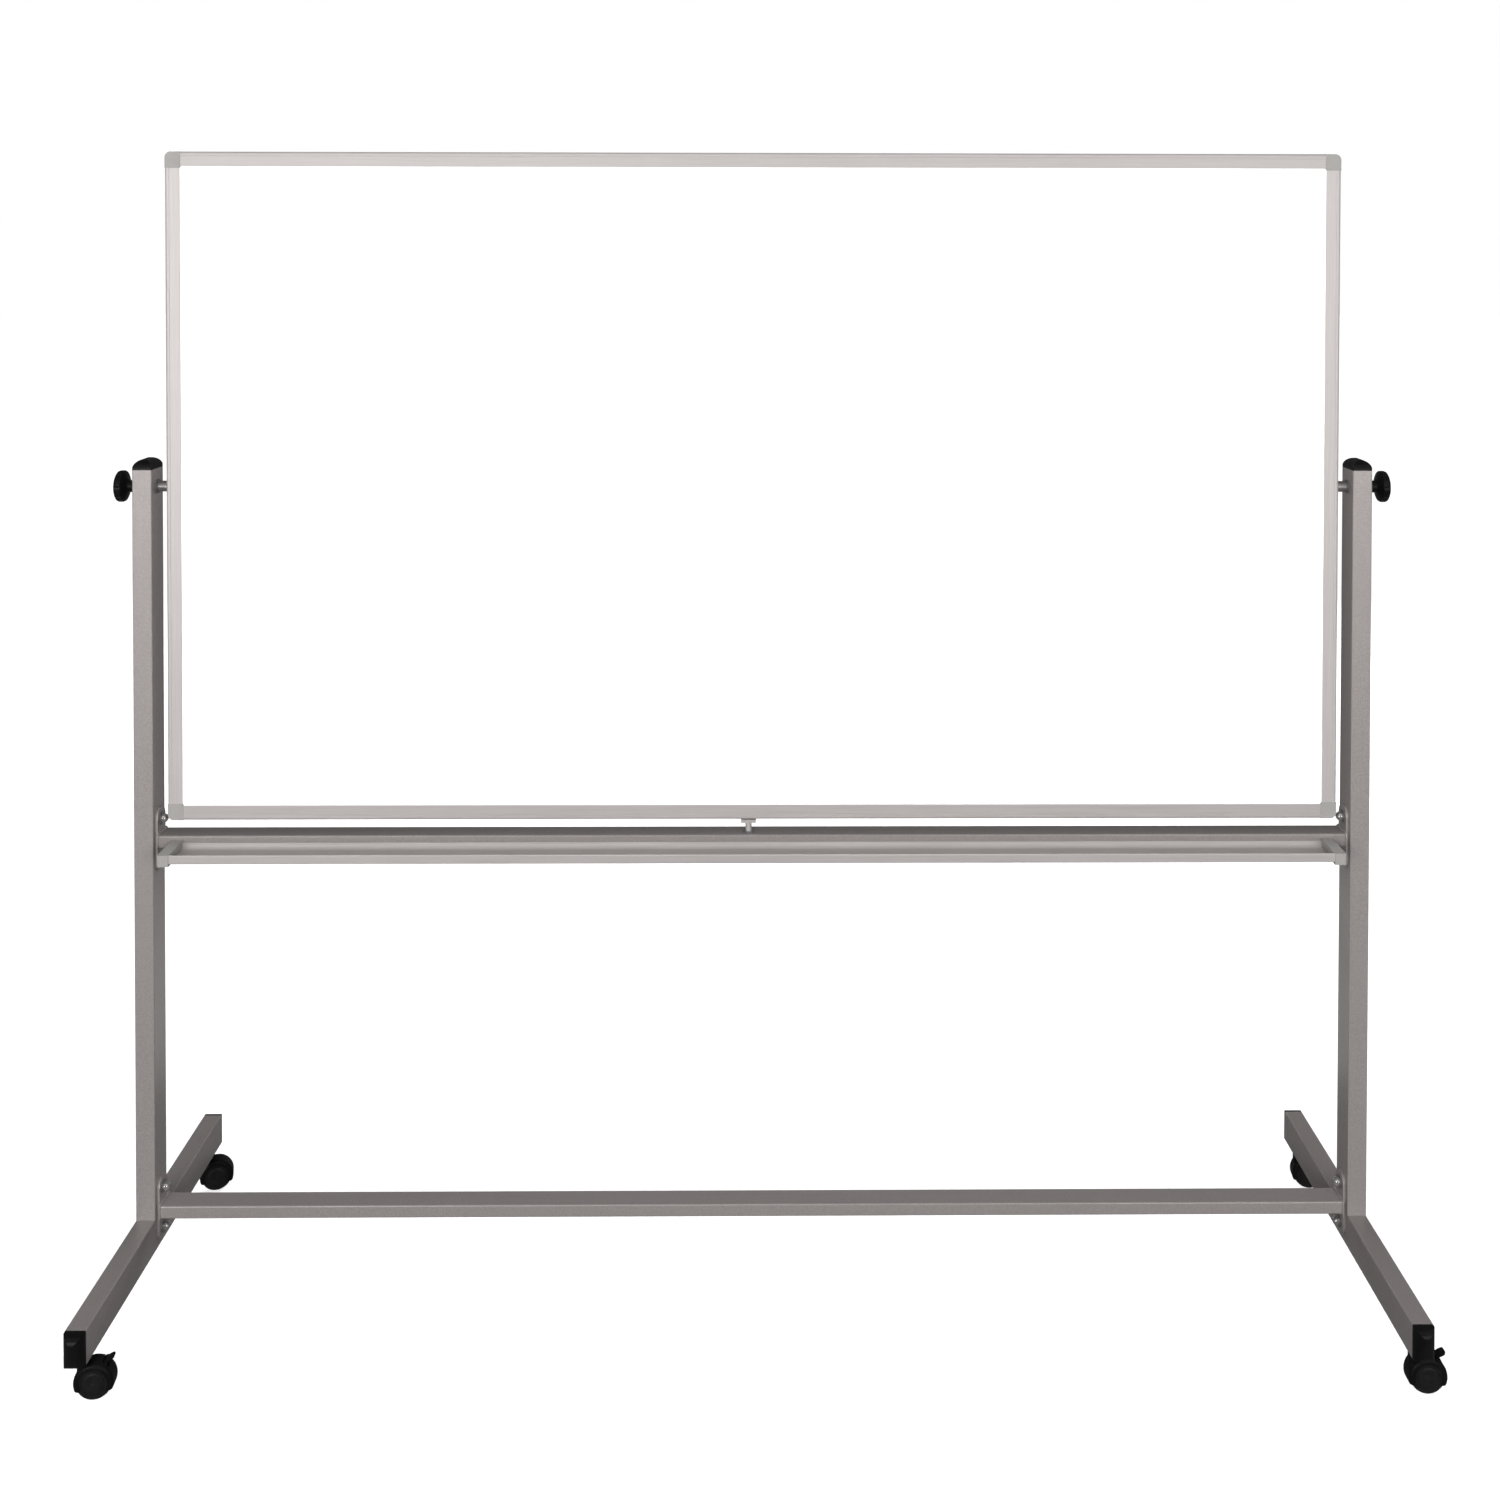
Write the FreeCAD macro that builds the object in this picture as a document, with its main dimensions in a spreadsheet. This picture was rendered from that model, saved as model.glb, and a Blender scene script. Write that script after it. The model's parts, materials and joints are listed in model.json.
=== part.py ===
"""Rolling reversible whiteboard: a double-sided board on two pivots in a mobile H-stand.

Frame: millimetres, +Z up, +X to the right of a person who faces the writing side, +Y away from
that person. The origin is on the floor, midway between the posts and on their centre plane.
"""
import FreeCAD, Part
import math
import os
import Sketcher
from FreeCAD import Placement, Rotation, Vector

doc = FreeCAD.newDocument("rolling_whiteboard")

SIZES = [
    # stand tubes
    ("post_inner", 933, "centre plane to the inner face of a post"),
    ("tube_wide", 30, "post and leg tube, across X"),
    ("tube_deep", 50, "post and leg tube, the other way"),
    ("tube_wall", 1.5, "wall of every steel tube"),
    ("tube_round", 1.6, "outer corner radius of post and leg tubes"),
    ("leg_length", 570, "leg tube, front to back"),
    ("leg_under", 63, "floor to the underside of a leg"),
    ("post_top", 1286, "floor to the top of a post tube"),
    ("running_gap", 0.3, "gap between faces that turn past each other"),
    # caps
    ("cap_rise", 16, "height of a cap's vault"),
    ("cap_shoulder", 15, "length of the curve at each short end of a cap's vault"),
    ("cap_plug", 18, "how far a cap reaches into its tube"),
    # crossbars
    ("bar_deep", 40, "crossbar tube, across Y"),
    ("bar_tall", 20, "crossbar tube, across Z"),
    ("bar_round", 2.5, "outer corner radius of a crossbar"),
    ("lower_bar_top", 132, "floor to the top of the lower crossbar"),
    ("upper_bar_top", 715, "floor to the top of the upper crossbar"),
    ("flange_tall", 100, "end plate of a crossbar, across Z"),
    ("flange_wide", 34, "end plate of a crossbar, across Y"),
    ("flange_thick", 4, "end plate of a crossbar, along X"),
    ("bolt_pitch", 62.5, "between the two bolts of an end plate"),
    ("bolt_shank", 4, "radius of an M8 thread"),
    ("bolt_head", 7, "radius of a bolt's domed head"),
    ("bolt_head_tall", 9, "height of a bolt's domed head"),
    ("bolt_grip", 19, "bolt length under its head"),
    ("washer_radius", 10, "washer under a bolt's head"),
    ("washer_thick", 1.6, "washer under a bolt's head"),
    ("insert_radius", 5.5, "threaded insert in a tube wall"),
    ("insert_length", 14, "threaded insert in a tube wall"),
    # board
    ("board_wide", 1830, "outer width of the board's frame"),
    ("board_tall", 1043, "outer height of the board's frame"),
    ("board_thick", 24, "depth of the board's frame"),
    ("pivot_height", 1258, "floor to the board's pivot line"),
    ("rail_face", 22.5, "visible width of a rail"),
    ("rail_bead", 6.6, "width of the raised bead along a rail's outer edge"),
    ("rail_step", 0.7, "how far the bead stands above the rail's face"),
    ("rail_round", 3.5, "radius of the rail's outer edges"),
    ("rail_wall", 1.6, "wall of the rail extrusion"),
    ("panel_inset", 10, "outer edge of a rail to the bottom of its panel slot"),
    ("panel_thick", 19, "core and both sheets together"),
    ("sheet_thick", 0.5, "one painted steel writing sheet"),
    ("corner_wide", 24, "corner piece along X"),
    ("corner_tall", 25.5, "corner piece along Z"),
    ("corner_round", 9.5, "outer radius of a corner piece"),
    ("tongue", 28, "how far a corner's tongue reaches into a rail"),
    ("fit_gap", 0.1, "slack of a part that slides into another"),
    # pivots and knobs
    ("stud_radius", 4, "threaded stud of a clamping knob"),
    ("spacer_radius", 8.5, "spacer between a post and the board"),
    ("bushing_flange", 11, "radius of a pivot bushing's flange"),
    ("bushing_radius", 6, "radius of a pivot bushing's sleeve"),
    ("bushing_thick", 2.5, "thickness of a pivot bushing's flange"),
    ("knob_radius", 24.5, "outer radius of a clamping knob"),
    ("knob_boss", 9.5, "radius of a clamping knob's boss"),
    ("knob_tall", 30.2, "post to the outer face of a clamping knob"),
    ("knob_rim", 9.7, "height of a clamping knob's rim"),
    ("knob_lobe", 1.2, "depth of the hollows round a knob's rim"),
    # tray
    ("tray_half", 889, "centre plane to the end of the tray extrusion"),
    ("tray_front", 82, "centre plane to the front of the tray"),
    ("tray_sheet", 1.6, "wall of the tray extrusion"),
    ("tray_lip", 13.5, "height of the tray's front lip"),
    ("lip_thick", 3, "thickness of the tray's front lip"),
    ("tray_back", 9.5, "height of the tray's back wall above its floor"),
    ("end_cap_long", 17, "tray end cap, along X"),
    ("end_cap_front", 14, "height of a tray end cap at its front"),
    ("end_cap_back", 15, "height of a tray end cap against the crossbar"),
    ("end_cap_below", 3.5, "how far a tray end cap hangs below the tray"),
    ("end_cap_proud", 1.2, "how far a tray end cap stands in front of the lip"),
    # latch
    ("latch_side", 8.7, "latch axis, this far left of the centre plane"),
    ("latch_front", 7, "latch axis, this far in front of the centre plane"),
    ("latch_stem", 5, "radius of the latch's stem"),
    ("latch_head_wide", 23.5, "flat head of the latch, across X"),
    ("latch_head_deep", 10, "flat head of the latch, across Y"),
    ("latch_head_thick", 5, "flat head of the latch, across Z"),
    ("latch_gap", 0.7, "board to the latch's head"),
    # casters
    ("stem_inset", 28.5, "end of a leg tube to a caster's swivel axis"),
    ("caster_trail", 15.5, "swivel axis to the axle"),
    ("wheel_radius", 25, "caster wheel"),
    ("web_half", 3, "half thickness of a housing's middle web"),
    ("hood_radius", 27.8, "outer radius of a housing's hood"),
    ("hood_half", 14.5, "half width of a housing's hood"),
    ("hood_wall", 1.4, "wall of a housing's hood"),
    ("hood_round", 5.5, "radius of the hood's shoulders"),
    ("axle_radius", 3, "caster axle"),
    ("caster_stem", 5, "radius of a caster's stem"),
    ("caster_neck", 9.5, "radius of a housing's neck"),
    ("skirt_end", 10, "axle down to the end of the hood's skirt"),
    ("socket_radius", 7, "caster socket's body"),
    ("socket_length", 32, "how far a caster socket reaches into its leg"),
    ("socket_flange", 10, "radius of a caster socket's flange"),
    ("socket_thick", 2, "thickness of a caster socket's flange"),
]

sheet = doc.addObject("Spreadsheet::Sheet", "Sizes")
for row, (alias, value, note) in enumerate(SIZES, start=1):
    sheet.set(f"A{row}", note)
    sheet.set(f"B{row}", str(value))
    sheet.setAlias(f"B{row}", alias)
doc.recompute()


class Length:
    """A length that knows its number and the expression that ties it to the sheet."""

    def __init__(self, text, value):
        self.text = text
        self.value = value

    def joined(self, sign, other, value):
        return Length(f"({self.text} {sign} {other.text})", value)

    def __add__(self, other):
        other = as_length(other)
        return self.joined("+", other, self.value + other.value)

    def __sub__(self, other):
        other = as_length(other)
        return self.joined("-", other, self.value - other.value)

    def __mul__(self, other):
        other = as_length(other)
        return self.joined("*", other, self.value * other.value)

    def __truediv__(self, other):
        other = as_length(other)
        return self.joined("/", other, self.value / other.value)

    def __radd__(self, other):
        return as_length(other) + self

    def __rsub__(self, other):
        return as_length(other) - self

    def __rmul__(self, other):
        return as_length(other) * self

    def __neg__(self):
        return as_length(-1) * self


def as_length(item):
    if isinstance(item, Length):
        return item
    return Length(f"({float(item)})", float(item))


def size(alias):
    return Length(f"Sizes.{alias}", float(sheet.get(alias)))


def bind(thing, name, length):
    length = as_length(length)
    setattr(thing, name, length.value)
    thing.setExpression(name, length.text)


def place(thing, x=0, y=0, z=0, turn=Rotation()):
    base = [as_length(item) for item in (x, y, z)]
    thing.Placement = Placement(Vector(*[item.value for item in base]), turn)
    for axis, item in zip("xyz", base):
        thing.setExpression(f"Placement.Base.{axis}", item.text)
    return thing


# ---------------------------------------------------------------- sketches

def new_body(label):
    body = doc.addObject("PartDesign::Body", label)
    body.Label = label
    return body


def new_sketch(body, role, offset=0):
    """A sketch on one of the body's own origin planes, moved along the plane's normal."""
    sketch = body.newObject("Sketcher::SketchObject", "Sketch")
    plane = next(item for item in body.Origin.OriginFeatures if item.Role == role)
    sketch.AttachmentSupport = [(plane, "")]
    sketch.MapMode = "FlatFace"
    offset = as_length(offset)
    sketch.AttachmentOffset = Placement(Vector(0, 0, offset.value), Rotation())
    sketch.setExpression("AttachmentOffset.Base.z", offset.text)
    return sketch


def fix_value(sketch, kind, first, second, length):
    """A distance constraint whose value follows the sheet, whichever its sign."""
    if length.value < 0:
        first, second, length = second, first, -length
    index = sketch.addConstraint(Sketcher.Constraint(kind, *first, *second, length.value))
    sketch.setExpression(f"Constraints[{index}]", length.text)


def fix_point(sketch, geometry, point, x, y):
    origin = (-1, 1)
    for axis, kind, length in ((-2, "DistanceX", x), (-1, "DistanceY", y)):
        length = as_length(length)
        if abs(length.value) < 1e-9:
            sketch.addConstraint(Sketcher.Constraint("PointOnObject", geometry, point, axis))
        else:
            fix_value(sketch, kind, origin, (geometry, point), length)


def fix_radius(sketch, geometry, radius):
    index = sketch.addConstraint(Sketcher.Constraint("Radius", geometry, radius.value))
    sketch.setExpression(f"Constraints[{index}]", radius.text)


def draw_circle(sketch, x, y, radius):
    x, y, radius = as_length(x), as_length(y), as_length(radius)
    circle = Part.Circle(Vector(x.value, y.value, 0), Vector(0, 0, 1), radius.value)
    geometry = sketch.addGeometry(circle, False)
    fix_point(sketch, geometry, 3, x, y)
    fix_radius(sketch, geometry, radius)


def direction(start, end):
    """Unit step from one corner towards the next, along X or along Y."""
    step = Vector(end[0].value - start[0].value, end[1].value - start[1].value, 0)
    step.normalize()
    return step


def draw_outline(sketch, corners):
    """A closed outline. A corner is (x, y), or (x, y, radius) where it is a rounded right angle."""
    corners = [[as_length(item) for item in corner] for corner in corners]
    stops = []
    for index, corner in enumerate(corners):
        x, y = corner[0], corner[1]
        if len(corner) == 2:
            stops.append(((x, y), (x, y), None, None))
            continue
        radius = corner[2]
        back = direction(corner, corners[index - 1])
        ahead = direction(corner, corners[(index + 1) % len(corners)])
        arrive = (x + radius * back.x, y + radius * back.y)
        leave = (x + radius * ahead.x, y + radius * ahead.y)
        centre = Vector(x.value, y.value, 0) + (back + ahead) * radius.value
        stops.append((arrive, leave, centre, radius))
    for index, (arrive, leave, centre, radius) in enumerate(stops):
        if centre is not None:
            draw_corner(sketch, arrive, leave, centre, radius)
        target = stops[(index + 1) % len(stops)][0]
        start = Vector(leave[0].value, leave[1].value, 0)
        end = Vector(target[0].value, target[1].value, 0)
        line = sketch.addGeometry(Part.LineSegment(start, end), False)
        fix_point(sketch, line, 1, *leave)
        fix_point(sketch, line, 2, *target)


def draw_corner(sketch, arrive, leave, centre, radius):
    start = Vector(arrive[0].value, arrive[1].value, 0)
    end = Vector(leave[0].value, leave[1].value, 0)
    outward = (start + end) * 0.5 - centre
    outward.normalize()
    middle = centre + outward * radius.value
    arc = Part.Arc(start, middle, end)
    geometry = sketch.addGeometry(arc, False)
    ends = [sketch.getPoint(geometry, number) for number in (1, 2)]
    first = arrive if (ends[0] - start).Length < 1e-6 else leave
    last = leave if first is arrive else arrive
    fix_point(sketch, geometry, 1, *first)
    fix_point(sketch, geometry, 2, *last)
    fix_radius(sketch, geometry, radius)


def rectangle(left, bottom, right, top, radius=None):
    corners = [(left, bottom), (right, bottom), (right, top), (left, top)]
    if radius is None:
        return corners
    return [(*corner, radius) for corner in corners]


def centred(wide, tall, radius=None):
    return rectangle(-wide / 2, -tall / 2, wide / 2, tall / 2, radius)


# ---------------------------------------------------------------- features

def pad(body, sketch, length, symmetric=False, reverse=False):
    feature = body.newObject("PartDesign::Pad", "Pad")
    feature.Profile = sketch
    bind(feature, "Length", length)
    feature.SideType = "Symmetric" if symmetric else "One side"
    feature.Reversed = reverse
    doc.recompute()
    return feature


def pocket(body, sketch, length=None, symmetric=False, reverse=False):
    """Cut the sketch out of the body, and make sure that something was cut."""
    before = body.Shape.Volume
    feature = body.newObject("PartDesign::Pocket", "Pocket")
    feature.Profile = sketch
    feature.SideType = "Symmetric" if symmetric else "One side"
    feature.Reversed = reverse
    if length is None:
        feature.Type = "ThroughAll"
    else:
        bind(feature, "Length", length)
    doc.recompute()
    if not body.Shape.Volume < before:
        raise RuntimeError(f"a pocket in {body.Label} cuts nothing")
    return feature


def turn_profile(body, sketch, kind="PartDesign::Revolution"):
    """Revolve or groove a sketch about its own vertical axis."""
    feature = body.newObject(kind, kind.split("::")[1])
    feature.Profile = sketch
    feature.ReferenceAxis = (sketch, ["V_Axis"])
    feature.Angle = 360
    doc.recompute()
    return feature


def round_edges(body, chosen, radius):
    """Fillet the edges of the body's last feature that the test picks."""
    feature = body.Tip
    names = [f"Edge{number}" for number, edge in enumerate(feature.Shape.Edges, start=1)
             if chosen(edge)]
    fillet = body.newObject("PartDesign::Fillet", "Fillet")
    fillet.Base = (feature, names)
    bind(fillet, "Radius", radius)
    doc.recompute()
    return fillet


def turned(label, corners):
    """A piece turned about its own Z axis, from an outline of (radius, height) corners."""
    body = new_body(label)
    sketch = new_sketch(body, "XZ_Plane")
    draw_outline(sketch, corners)
    turn_profile(body, sketch)
    return body


def extruded(label, role, corners, length, symmetric=True, reverse=False):
    body = new_body(label)
    sketch = new_sketch(body, role)
    draw_outline(sketch, corners)
    pad(body, sketch, length, symmetric, reverse)
    return body


def trim(body, role, inner, outer):
    """Cut away whatever lies between the inner and the outer outline, right through."""
    sketch = new_sketch(body, role)
    draw_outline(sketch, outer)
    draw_outline(sketch, inner)
    pocket(body, sketch, symmetric=True)


def sleeve(label, inner, outer, low, high):
    return turned(label, rectangle(inner, low, outer, high))


def solid_block(label, length, width, height):
    """A plain box with one corner on its own origin."""
    box = doc.addObject("Part::Box", label)
    box.Label = label
    bind(box, "Length", length)
    bind(box, "Width", width)
    bind(box, "Height", height)
    return box


nodes = []


def keep(thing):
    nodes.append(thing)
    return thing


def keep_group(label, members):
    """Several equal solids in one node."""
    group = doc.addObject("Part::Compound", label)
    group.Label = label
    group.Links = members
    return keep(group)


def towards(x, y, z):
    """The turn that takes a piece's own Z axis to this direction."""
    return Rotation(Vector(0, 0, 1), Vector(x, y, z))


SIDES = {"left": -1, "right": 1}
HALF_TURN_Z = Rotation(Vector(0, 0, 1), 180)

# clearances, in millimetres
PRESS_GAP = 0.05
SPIN_GAP = 0.06
TIGHT_GAP = 0.03
BOLT_GAP = 0.3
NECK_GAP = 0.5
TANGENT = 0.01  # kept off a full half round, so that its two arcs do not merge

# small hardware
FOOT_REACH = 8
TRAY_SCREW_Y = 4
TRAY_SCREW_SHANK = 2
LATCH_SLEEVE = 6.5
LATCH_BUSHING_FLANGE = 9
SCREW_HEAD = 3
SCREW_HEAD_THICK = 0.8
SCREW_SHANK = 1.5
SCREW_LENGTH = 8
CHAMBER_RIB = 1.4
CHAMBER_LIP = 0.6
PULL_TALL = 12
PULL_RADIUS = 9
PULL_BITE = 8
LOBES = 8
SCALLOP_RADIUS = 9
KNOB_BORE = 18
AXLE_HALF = 10.5
STEM_BITE = 12.5
BRAKE_X, BRAKE_Z = 15, 23.5
BRAKE_HALF = 7
LUG_RADIUS = 3.2
PIN_RADIUS = 1.5

# ---------------------------------------------------------------- places worked out from the sizes

tube_wide, tube_deep, tube_wall = size("tube_wide"), size("tube_deep"), size("tube_wall")
post_centre = size("post_inner") + tube_wide / 2
leg_top = size("leg_under") + tube_deep
lower_bar_middle = size("lower_bar_top") - size("bar_tall") / 2
upper_bar_middle = size("upper_bar_top") - size("bar_tall") / 2
leg_middle = size("leg_under") + tube_deep / 2
half_pitch = size("bolt_pitch") / 2
stem_y = size("leg_length") / 2 - size("stem_inset")


# ---------------------------------------------------------------- stand tubes

def tube_section(body, wide, tall, role, radius):
    sketch = new_sketch(body, role)
    draw_outline(sketch, centred(wide, tall, radius))
    draw_outline(sketch, centred(wide - 2 * tube_wall, tall - 2 * tube_wall))
    return sketch


def make_post(side_name):
    """Upright tube: pivot hole through both walls, three insert holes in the inner wall."""
    side = SIDES[side_name]
    length = size("post_top") - leg_top
    body = new_body(f"{side_name}_post")
    section = tube_section(body, tube_wide, tube_deep, "XY_Plane", size("tube_round"))
    pad(body, section, length)
    pivot = new_sketch(body, "YZ_Plane")
    draw_circle(pivot, 0, size("pivot_height") - leg_top, size("bushing_radius") + PRESS_GAP)
    pocket(body, pivot, symmetric=True)
    inserts = new_sketch(body, "YZ_Plane")
    for height in (upper_bar_middle + half_pitch, upper_bar_middle - half_pitch,
                   lower_bar_middle + half_pitch):
        draw_circle(inserts, 0, height - leg_top, size("insert_radius") + PRESS_GAP)
    pocket(body, inserts, tube_wide, reverse=True)
    turn = Rotation() if side < 0 else HALF_TURN_Z
    return keep(place(body, side * post_centre, 0, leg_top, turn))


def make_leg(side_name):
    """Floor tube: two caster holes in its underside, one insert hole in its inner wall."""
    side = SIDES[side_name]
    body = new_body(f"{side_name}_leg")
    section = tube_section(body, tube_wide, tube_deep, "XZ_Plane", size("tube_round"))
    pad(body, section, size("leg_length"), symmetric=True)
    stems = new_sketch(body, "XY_Plane")
    for end in (-1, 1):
        draw_circle(stems, 0, end * stem_y, size("socket_radius") + PRESS_GAP)
    pocket(body, stems, tube_deep)
    insert = new_sketch(body, "YZ_Plane")
    draw_circle(insert, 0, lower_bar_middle - half_pitch - leg_middle, size("insert_radius") + PRESS_GAP)
    pocket(body, insert, tube_wide, reverse=True)
    turn = Rotation() if side < 0 else HALF_TURN_Z
    return keep(place(body, side * post_centre, 0, leg_middle, turn))


def vault_cap(label):
    """A push-in tube cap: a hollow plug, and a vault that is round over the tube's narrow way."""
    rise, plug_wall = size("cap_rise"), 2
    vault = extruded(label, "XZ_Plane", arch(tube_wide, rise, tube_wide / 2 - TANGENT), tube_deep)
    trim(vault, "YZ_Plane", arch(tube_deep, rise, size("cap_shoulder"), below=1),
         rectangle(-tube_deep, -2, tube_deep, rise + 2))
    trim(vault, "XY_Plane", centred(tube_wide, tube_deep, size("tube_round")),
         centred(tube_wide + 4, tube_deep + 4))
    plug = new_sketch(vault, "XY_Plane")
    inner_wide = tube_wide - 2 * (tube_wall + size("fit_gap"))
    inner_deep = tube_deep - 2 * (tube_wall + size("fit_gap"))
    draw_outline(plug, centred(inner_wide, inner_deep))
    draw_outline(plug, centred(inner_wide - 2 * plug_wall, inner_deep - 2 * plug_wall))
    pad(vault, plug, size("cap_plug"), reverse=True)
    return vault


def arch(wide, rise, radius, below=0):
    """Corners of an outline that stands on its base, with its two upper corners round."""
    base = as_length(-below)
    return [(-wide / 2, base), (wide / 2, base), (wide / 2, rise, radius), (-wide / 2, rise, radius)]


def make_caps():
    tops = []
    for side_name, side in SIDES.items():
        cap = vault_cap(f"{side_name}_post_cap")
        tops.append(place(cap, side * post_centre, 0, size("post_top")))
    keep_group("post_caps", tops)
    ends = []
    for side_name, side in SIDES.items():
        for end_name, end in (("front", -1), ("rear", 1)):
            cap = vault_cap(f"{end_name}_{side_name}_leg_cap")
            turn = Rotation(Vector(1, 0, 0), -90 * end)
            ends.append(place(cap, side * post_centre, end * size("leg_length") / 2, leg_middle, turn))
    keep_group("leg_end_caps", ends)


# ---------------------------------------------------------------- crossbars

def make_crossbar(label, middle):
    """Rectangular tube that ends on the end plates welded to it."""
    body = new_body(label)
    section = tube_section(body, size("bar_deep"), size("bar_tall"), "YZ_Plane", size("bar_round"))
    pad(body, section, 2 * (size("post_inner") - size("flange_thick")), symmetric=True)
    return keep(place(body, 0, 0, middle))


def make_end_plates():
    """The four plates with fully round ends and two bolt holes, welded to the crossbars."""
    plates = []
    half = size("flange_wide") / 2
    for side_name, side in SIDES.items():
        for bar_name, middle in (("lower", lower_bar_middle), ("upper", upper_bar_middle)):
            plate = new_body(f"{bar_name}_{side_name}_plate")
            outline = new_sketch(plate, "YZ_Plane")
            draw_outline(outline, centred(size("flange_wide"), size("flange_tall"), half - TANGENT))
            for end in (-1, 1):
                draw_circle(outline, 0, end * half_pitch, size("bolt_shank") + BOLT_GAP)
            pad(plate, outline, size("flange_thick"), reverse=side > 0)
            plates.append(place(plate, side * size("post_inner"), 0, middle))
    keep_group("crossbar_end_plates", plates)


def make_upper_crossbar():
    body = make_crossbar("upper_crossbar", upper_bar_middle)
    latch = new_sketch(body, "XY_Plane")
    draw_circle(latch, -size("latch_side"), -size("latch_front"), LATCH_SLEEVE + PRESS_GAP)
    pocket(body, latch, symmetric=True)
    screws = new_sketch(body, "XY_Plane")
    for x in tray_screw_places():
        draw_circle(screws, x, -TRAY_SCREW_Y, TRAY_SCREW_SHANK + PRESS_GAP)
    pocket(body, screws, size("bar_tall"))


def tray_screw_places():
    return [fraction * size("tray_half") for fraction in (-0.85, -0.35, 0.35, 0.85)]


def make_bolts():
    """Domed bolts, washers and threaded inserts that hold both crossbars to the posts and legs."""
    bolts, washers, inserts = [], [], []
    shank, head = size("bolt_shank"), size("bolt_head")
    tall = size("bolt_head_tall")
    face = size("post_inner") - size("flange_thick")
    for side in SIDES.values():
        for middle in (lower_bar_middle, upper_bar_middle):
            for end in (-1, 1):
                height = middle + end * half_pitch
                number = len(bolts) + 1
                bolt = turned(f"bolt_{number}", [
                    (0, -size("bolt_grip")), (shank, -size("bolt_grip")), (shank, 0),
                    (head, 0), (head, tall, head - 0.4), (0, tall)])
                socket = new_sketch(bolt, "XY_Plane", tall)
                draw_outline(socket, hexagon(2.5))
                pocket(bolt, socket, 2.6)
                bolts.append(place(bolt, side * (face - size("washer_thick")), 0, height,
                                   towards(-side, 0, 0)))
                washer = sleeve(f"washer_{number}", shank + BOLT_GAP, size("washer_radius"),
                                0, size("washer_thick"))
                washers.append(place(washer, side * face, 0, height, towards(-side, 0, 0)))
                insert = sleeve(f"insert_{number}", shank + PRESS_GAP, size("insert_radius"),
                                0, size("insert_length"))
                inserts.append(place(insert, side * size("post_inner"), 0, height,
                                     towards(side, 0, 0)))
    keep_group("crossbar_bolts", bolts)
    keep_group("crossbar_washers", washers)
    keep_group("threaded_inserts", inserts)


def hexagon(across):
    """Corners of a hexagon, by half its width over flats."""
    radius = across / math.cos(math.pi / 6)
    return [(radius * math.cos(math.pi * step / 3), radius * math.sin(math.pi * step / 3))
            for step in range(6)]


# ---------------------------------------------------------------- tray

def make_tray():
    """Aluminium extrusion: lip, floor and back wall, and a foot screwed under the crossbar."""
    front, bar_front = size("tray_front"), size("bar_deep") / 2
    wall, under = size("tray_sheet"), size("upper_bar_top") - size("bar_tall")
    back = front - bar_front - size("fit_gap")
    foot = front + FOOT_REACH
    body = extruded("marker_tray", "YZ_Plane", [
        (0, -wall, 1.2), (foot, -wall), (foot, 0),
        (back, 0), (back, size("tray_back")), (back - wall, size("tray_back")),
        (back - wall, 0, 6.5), (size("lip_thick"), 0, 1.5),
        (size("lip_thick"), size("tray_lip") - wall, 1.4), (0, size("tray_lip") - wall, 1.4)],
        2 * size("tray_half"))
    holes = new_sketch(body, "XY_Plane")
    for x in tray_screw_places():
        draw_circle(holes, x, front - TRAY_SCREW_Y, TRAY_SCREW_SHANK + 0.2)
    pocket(body, holes, wall * 2)
    notch = new_sketch(body, "XY_Plane")
    draw_outline(notch, rectangle(-size("latch_side") - 12, front - size("latch_front") - 11,
                                  12 - size("latch_side"), foot + 1))
    pocket(body, notch, wall * 2)
    keep(place(body, 0, -front, under))


def make_tray_screws():
    under = size("upper_bar_top") - size("bar_tall") - size("tray_sheet")
    screws = []
    for number, x in enumerate(tray_screw_places(), start=1):
        screw = turned(f"tray_screw_{number}", [
            (0, 7), (TRAY_SCREW_SHANK, 7), (TRAY_SCREW_SHANK, 0), (4, 0),
            (4, -2.2, 1.5), (0, -2.2)])
        screws.append(place(screw, x, -TRAY_SCREW_Y, under))
    keep_group("tray_screws", screws)


def make_tray_end_cap(side_name):
    """Moulded block that closes one end of the tray, from in front of its lip to the crossbar."""
    side = SIDES[side_name]
    proud, below = size("end_cap_proud"), size("end_cap_below")
    back = size("tray_front") - size("bar_deep") / 2 - size("running_gap")
    body = extruded(f"{side_name}_tray_end_cap", "YZ_Plane", [
        (-proud, -below), (back, -below), (back, size("end_cap_back")), (-proud, size("end_cap_front"))],
        size("end_cap_long"), symmetric=False, reverse=side < 0)
    round_edges(body, lambda edge: is_front_upright(edge, proud.value), 1)
    floor = size("upper_bar_top") - size("bar_tall") - size("tray_sheet")
    keep(place(body, side * (size("tray_half") + PRESS_GAP), -size("tray_front"), floor))


def is_front_upright(edge, proud):
    box = edge.BoundBox
    return abs(box.YMin + proud) < 1e-6 and abs(box.YMax + proud) < 1e-6 and box.ZLength > 5


# ---------------------------------------------------------------- latch

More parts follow.
